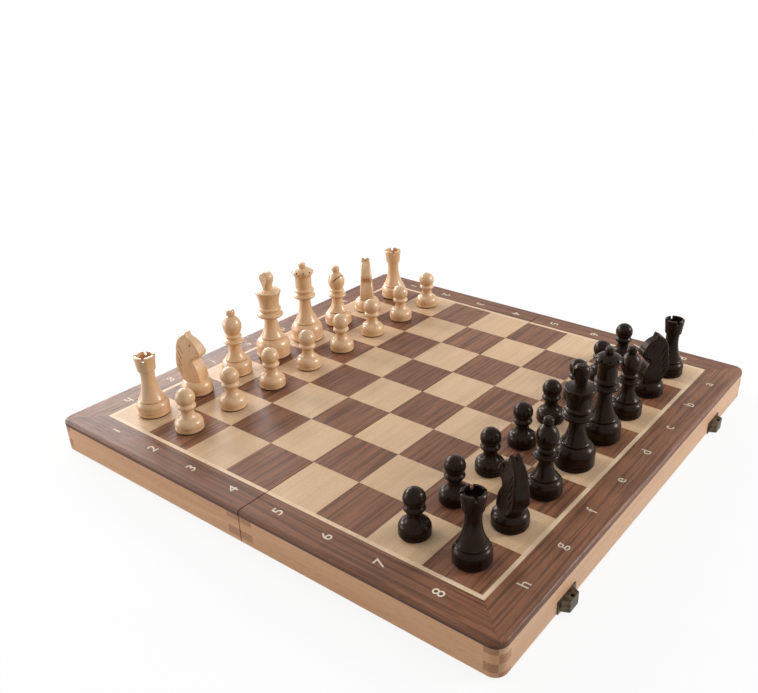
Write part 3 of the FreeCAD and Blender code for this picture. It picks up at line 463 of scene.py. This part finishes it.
def maple_inlay():
    material, tree, shader = new_material("maple squares and stringing")
    place, x, y, z = axes(tree)
    chance = square_cell(tree, x, y)
    grain = square_grain(tree, x, y, z, chance)
    rings, fibres, pores = figure(tree, grain, (0.12, 0.008), (0.03, 0.0012), (0.003, 0.00035))
    colour = blend(tree, rings, tone(214, 182, 147), tone(200, 166, 130))
    colour = blend(tree, math_of(tree, "MULTIPLY", fibres, 0.4), colour, tone(224, 194, 160))
    colour = blend(tree, math_of(tree, "MULTIPLY", chance[2], 0.35), colour, tone(196, 160, 124))
    colour = blend(tree, math_of(tree, "MULTIPLY", pores, 0.3), colour, tone(160, 122, 88))
    reach = math_of(tree, "MAXIMUM", math_of(tree, "ABSOLUTE", x), math_of(tree, "ABSOLUTE", y))
    on_strip = math_of(tree, "GREATER_THAN", reach, FIELD)
    strip = blend(tree, fibres, tone(214, 184, 150), tone(226, 200, 168))
    colour = blend(tree, on_strip, colour, strip)
    feed(tree, shader, colour, ramp(tree, fibres, 0.0, 1.0, 0.36, 0.44), pores, 0.00003)
    shader.inputs["Specular IOR Level"].default_value = 0.25
    return material


finish_nodes(maple_inlay(), "a_maple_inlay", "b_maple_inlay")


# Dark squares: 16 walnut squares on each half, let in between the maple ones.
# Cut from mixed leaves of walnut, so that no two have quite the same tone.
def walnut_squares():
    material, tree, shader = new_material("walnut squares")
    place, x, y, z = axes(tree)
    chance = square_cell(tree, x, y)
    grain = square_grain(tree, x, y, z, chance)
    colour, roughness, height = walnut(tree, grain, math_of(tree, "MULTIPLY", chance[2], 0.45))
    feed(tree, shader, colour, roughness, height, 0.00004)
    shader.inputs["Specular IOR Level"].default_value = 0.22
    return material


finish_nodes(walnut_squares(), "a_walnut_squares", "b_walnut_squares")


# Felt lining: pressed wool felt glued over the inside of each half box.
# Cut to fit between the rails, with a soft napped face that is a little uneven.
FELT_GRID = 0.004
FELT_UNEVEN = 0.00018
FELT_WAVES = 90
FELT_TURN_UP = 0.0003
FELT_TURN_REACH = 0.002


def green_felt():
    material, tree, shader = new_material("green felt")
    place, x, y, z = axes(tree)
    nap = put(tree, "ShaderNodeTexNoise", {"Vector": place, "Scale": 2200.0, "Detail": 3.0}).outputs[0]
    clouds = put(tree, "ShaderNodeTexNoise", {"Vector": place, "Scale": 60.0, "Detail": 2.0}).outputs[0]
    colour = blend(tree, ramp(tree, nap, 0.3, 0.7), tone(28, 66, 44), tone(52, 98, 68))
    colour = blend(tree, ramp(tree, clouds, 0.35, 0.7, 0.0, 0.35), colour, tone(64, 108, 80))
    feed(tree, shader, colour, ramp(tree, nap, 0.3, 0.7, 0.9, 1.0), nap, 0.0003)
    shader.inputs["Sheen Weight"].default_value = 0.4
    shader.inputs["Sheen Roughness"].default_value = 0.5
    return material


felt_green = green_felt()


def felt_sheet(name, node):
    """A napped sheet that fills its CAD solid's box, uneven on its open lower face."""
    low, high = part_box(node)
    width, length = high[0] - low[0], high[1] - low[1]
    columns, rows = round(width / FELT_GRID), round(length / FELT_GRID)
    shape = bmesh.new()
    bmesh.ops.create_grid(shape, x_segments=columns, y_segments=rows, size=0.5)
    top = list(shape.faces)
    made = bmesh.ops.extrude_face_region(shape, geom=top)
    lower = [item for item in made["geom"] if isinstance(item, bmesh.types.BMVert)]
    for vert in shape.verts:
        vert.co.x = low[0] + (vert.co.x + 0.5) * width
        vert.co.y = low[1] + (vert.co.y + 0.5) * length
        vert.co.z = high[2]
    for vert in lower:
        edge = min(vert.co.x - low[0], high[0] - vert.co.x, vert.co.y - low[1], high[1] - vert.co.y)
        rise = FELT_UNEVEN * (1 + noise.noise(vert.co * FELT_WAVES))
        rise += FELT_TURN_UP * math.exp(-edge / FELT_TURN_REACH)
        vert.co.z = low[2] + rise
    bmesh.ops.recalc_face_normals(shape, faces=shape.faces)
    mesh = bpy.data.meshes.new(name)
    shape.to_mesh(mesh)
    shape.free()
    mesh.shade_smooth()
    mesh.materials.append(felt_green)
    piece = new_piece(name, mesh)
    return piece


for half in "ab":
    lining = felt_sheet(half + "_felt", half + "_felt_lining")
    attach(lining, "half_" + half)
    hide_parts(half + "_felt_lining")


# Metalwork: hinge leaves, pins, screws, nails, keepers, hasp plates and hasp levers.
# Pressed and turned brass, darkened to an antique bronze and lacquered.
def antique_bronze():
    material, tree, shader = new_material("antique bronze")
    place, x, y, z = axes(tree)
    patina = put(tree, "ShaderNodeTexNoise", {"Vector": place, "Scale": 260.0, "Detail": 4.0}).outputs[0]
    grain = put(tree, "ShaderNodeTexNoise", {"Vector": place, "Scale": 1800.0, "Detail": 2.0}).outputs[0]
    colour = blend(tree, ramp(tree, patina, 0.35, 0.65), tone(72, 64, 52), tone(106, 94, 76))
    colour = blend(tree, ramp(tree, grain, 0.5, 0.75, 0.0, 0.5), colour, tone(46, 40, 33))
    feed(tree, shader, colour, ramp(tree, patina, 0.3, 0.7, 0.38, 0.52), grain, 0.00003)
    shader.inputs["Metallic"].default_value = 1.0
    return material


bronze = antique_bronze()
finish_nodes(bronze, "a_hinge_leaves", "b_hinge_leaves", "a_screws", "b_screws")
finish_nodes(bronze, "b_keepers", "a_hasp_plates", "hasp_lever_front", "hasp_lever_back")


# White men: turned from boxwood, the knights carved, each with a felt pad under its foot.
# Sanded on the lathe and sprayed with a clear gloss lacquer.
PAD = 0.0008
PAD_TOP = border_top + PAD
MEN = ["king", "queen"]
PAIRED_MEN = (("rook", "ah"), ("knight", "bg"), ("bishop", "cf"))
MEN += [man + "_" + file for man, files in PAIRED_MEN for file in files]
MEN += ["pawn_" + file for file in "abcdefgh"]


def turned_wood(name, pale, deep, fibre, pad_and_shade, gloss):
    """Gloss wood with upright grain over a felt pad; returns its tree and shader too."""
    material, tree, shader = new_material(name)
    place, x, y, z = axes(tree)
    upright = along(tree, z, x, y)
    rings, fibres, pores = figure(tree, upright, (0.05, 0.006), (0.012, 0.0007), (0.002, 0.0003))
    colour = blend(tree, rings, pale, deep)
    colour = blend(tree, math_of(tree, "MULTIPLY", fibres, 0.35), colour, fibre)
    colour = blend(tree, math_of(tree, "MULTIPLY", pores, 0.2), colour, deep)
    on_pad = math_of(tree, "LESS_THAN", z, PAD_TOP)
    nap = put(tree, "ShaderNodeTexNoise", {"Vector": place, "Scale": 2400.0, "Detail": 2.0}).outputs[0]
    # The foot's felt pad: its dark tone is partly the felt and partly painted shade, the thin shadow line
    # where the foot meets the board.
    colour = blend(tree, on_pad, colour, blend(tree, nap, pad_and_shade, tone(74, 58, 46)))
    polish = ramp(tree, fibres, 0.0, 1.0, gloss, gloss + 0.08)
    roughness = math_of(tree, "MAXIMUM", polish, math_of(tree, "MULTIPLY", on_pad, 0.95))
    feed(tree, shader, colour, roughness, pores, 0.00002)
    lacquer = math_of(tree, "SUBTRACT", 1.0, on_pad)
    return material, tree, shader, lacquer


def boxwood():
    # The dark pad tone is the felt and painted shade at the foot together.
    material, tree, shader, lacquer = turned_wood(
        "lacquered boxwood", tone(221, 181, 137), tone(204, 161, 116), tone(230, 195, 152),
        tone(48, 38, 32), 0.3)
    coat = math_of(tree, "MULTIPLY", lacquer, 0.4)
    tree.links.new(coat, shader.inputs["Coat Weight"])
    shader.inputs["Coat Roughness"].default_value = 0.12
    return material


finish_nodes(boxwood(), *["white_" + man for man in MEN])


# Black men: the same forms in wood stained nearly black.
# A reddish brown shows through the stain in the light, under the same gloss lacquer.
def ebonised():
    material, tree, shader, lacquer = turned_wood(
        "lacquered ebonised wood", tone(28, 20, 15), tone(17, 13, 10), tone(62, 38, 27),
        tone(30, 25, 22), 0.24)
    coat = math_of(tree, "MULTIPLY", lacquer, 0.12)
    tree.links.new(coat, shader.inputs["Coat Weight"])
    shader.inputs["Coat Roughness"].default_value = 0.12
    shader.inputs["Specular IOR Level"].default_value = 0.09
    shader.inputs["Specular Tint"].default_value = (1.0, 0.66, 0.46, 1.0)
    return material


finish_nodes(ebonised(), *["black_" + man for man in MEN])


# Floor: a plain white sheet of board that the open chess board lies on.
# It keeps the faint shadow close to the rails and fades into the white ground further out.
FLOOR_REACH = 9.0
FLOOR_DROP = 0.0002
SHADOW_NEAR = 0.25
SHADOW_FAR = 0.75
SHADOW_SHARE = 0.12


def floor_sheet():
    material = bpy.data.materials.new("white floor")
    material.use_nodes = True
    tree = material.node_tree
    tree.nodes.clear()
    clear = put(tree, "ShaderNodeBsdfTransparent").outputs[0]
    paper = put(tree, "ShaderNodeBsdfDiffuse", {"Color": (0.9, 0.9, 0.9, 1.0)}).outputs[0]
    place, x, y, z = axes(tree)
    out = put(tree, "ShaderNodeVectorMath", {0: place}, operation="LENGTH").outputs["Value"]
    amount = ramp(tree, out, SHADOW_NEAR, SHADOW_FAR, SHADOW_SHARE, 0.0)
    both = put(tree, "ShaderNodeMixShader", {0: amount, 1: clear, 2: paper}).outputs[0]
    put(tree, "ShaderNodeOutputMaterial", {"Surface": both})
    disc = bmesh.new()
    bmesh.ops.create_circle(disc, cap_ends=True, segments=64, radius=FLOOR_REACH)
    mesh = bpy.data.meshes.new("floor")
    disc.to_mesh(mesh)
    disc.free()
    mesh.transform(Matrix.Translation((0, 0, cad_box[0][2] - FLOOR_DROP)))
    mesh.materials.append(material)
    return new_piece("floor", mesh)


floor_sheet()


# Light: two soft lamps, low at the left and at the right behind the board, a far panel and a fill.
# A plain white room fills in the rest and is the ground that the camera sees.
LAMP_DISTANCE = 1.6
FILL_DISTANCE = 1.11


def soft_lamp(name, direction, distance, width, power):
    """A square lamp that faces the middle of the board."""
    light = bpy.data.lights.new(name, "AREA")
    light.shape = "SQUARE"
    light.size = width
    light.energy = power
    lamp = bpy.data.objects.new(name, light)
    lamp.location = Vector(direction).normalized() * distance
    lamp.rotation_euler = (-lamp.location).to_track_quat("-Z", "Y").to_euler()
    bpy.context.scene.collection.objects.link(lamp)


def white_room(level):
    """White where it is seen straight or mirrored, and that level as light."""
    world = bpy.data.worlds.new("white room")
    bpy.context.scene.world = world
    world.use_nodes = True
    tree = world.node_tree
    tree.nodes.clear()
    path = put(tree, "ShaderNodeLightPath").outputs
    seen = math_of(tree, "MAXIMUM", path["Is Camera Ray"], path["Is Glossy Ray"])
    seen = math_of(tree, "MAXIMUM", seen, path["Is Transmission Ray"])
    strength = put(tree, "ShaderNodeMapRange", {"Value": seen, "To Min": level, "To Max": 1.0}).outputs[0]
    shell = put(tree, "ShaderNodeBackground", {"Color": (1, 1, 1, 1), "Strength": strength}).outputs[0]
    put(tree, "ShaderNodeOutputWorld", {"Surface": shell})


soft_lamp("left lamp", (-0.894, -0.032, 0.436), LAMP_DISTANCE, 0.5, 14.5)
soft_lamp("right lamp", (0.714, 0.570, 0.408), LAMP_DISTANCE, 0.5, 17.0)
soft_lamp("far panel", (-0.86, 0.40, 0.32), LAMP_DISTANCE, 0.6, 9.0)
soft_lamp("front fill", (-0.90, -0.60, 0.25), FILL_DISTANCE, 0.5, 4.5)
white_room(0.42)
bpy.context.scene.view_settings.view_transform = "Standard"


# Camera: at a player's left shoulder, a little above the men, as in the photograph.
IMAGE_WIDTH = 758
CAMERA_PLACE = Vector((0.3405, -0.4469, 0.3324))
CAMERA_AIM = Vector((0.0089, 0.0127, 0.0259))
FOCAL_PIXELS = 814.2
PRINCIPAL_RIGHT = 62.0
PRINCIPAL_DOWN = 41.8

lens = bpy.data.cameras.new("camera")
lens.sensor_fit = "HORIZONTAL"
lens.sensor_width = 36.0
lens.lens = FOCAL_PIXELS / IMAGE_WIDTH * lens.sensor_width
lens.shift_x = -PRINCIPAL_RIGHT / IMAGE_WIDTH
lens.shift_y = PRINCIPAL_DOWN / IMAGE_WIDTH
lens.clip_start = 0.01
camera = bpy.data.objects.new("camera", lens)
camera.location = CAMERA_PLACE
camera.rotation_euler = (CAMERA_AIM - CAMERA_PLACE).to_track_quat("-Z", "Y").to_euler()
bpy.context.scene.collection.objects.link(camera)
bpy.context.scene.camera = camera
